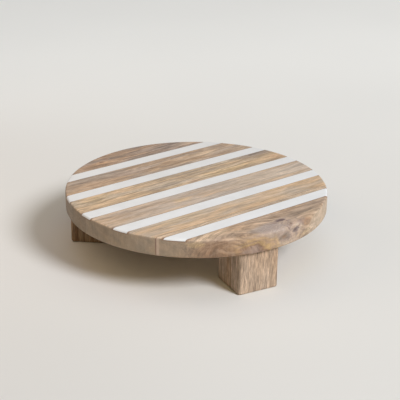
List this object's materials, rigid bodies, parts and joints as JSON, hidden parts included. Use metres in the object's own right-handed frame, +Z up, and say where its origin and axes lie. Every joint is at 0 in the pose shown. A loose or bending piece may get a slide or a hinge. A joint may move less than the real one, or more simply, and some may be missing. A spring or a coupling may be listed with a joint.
{
  "type": "cake stand",
  "caption": "Low round wooden stand for serving a cake: a glued board top with flush white stripes, raised on square block legs.",
  "frame": {"origin": "on the floor, under the middle of the round top", "axes": "+Z up; +X along the white stripes; -Y towards the front leg"},
  "size_m": [0.3, 0.3, 0.07],
  "materials": {
    "board_1_wood": "matt sealed, brown with a knot",
    "board_2_wood": "matt sealed, pale tan with straight grain",
    "board_3_wood": "matt sealed, pale greyish pink",
    "board_4_wood": "matt sealed, yellowish tan",
    "board_5_wood": "matt sealed, pinkish brown",
    "board_6_wood": "matt sealed, reddish brown",
    "stripe_white": "satin white, sanded flush",
    "leg_wood": "rough sawn, lightly sealed",
    "screw_steel": "zinc plated"
  },
  "bodies": {
    "root": {"top_board_1": "board_1_wood", "top_board_2": "board_2_wood", "top_board_3": "board_3_wood", "top_board_4": "board_4_wood", "top_board_5": "board_5_wood", "top_board_6": "board_6_wood", "stripe_inlay_1": "stripe_white", "stripe_inlay_2": "stripe_white", "stripe_inlay_3": "stripe_white", "stripe_inlay_4": "stripe_white", "stripe_inlay_5": "stripe_white", "leg_front": "leg_wood", "leg_left": "leg_wood", "leg_right": "leg_wood", "leg_front_screw_outer": "screw_steel", "leg_front_screw_inner": "screw_steel", "leg_left_screw_outer": "screw_steel", "leg_left_screw_inner": "screw_steel", "leg_right_screw_outer": "screw_steel", "leg_right_screw_inner": "screw_steel"}
  },
  "joints": []
}
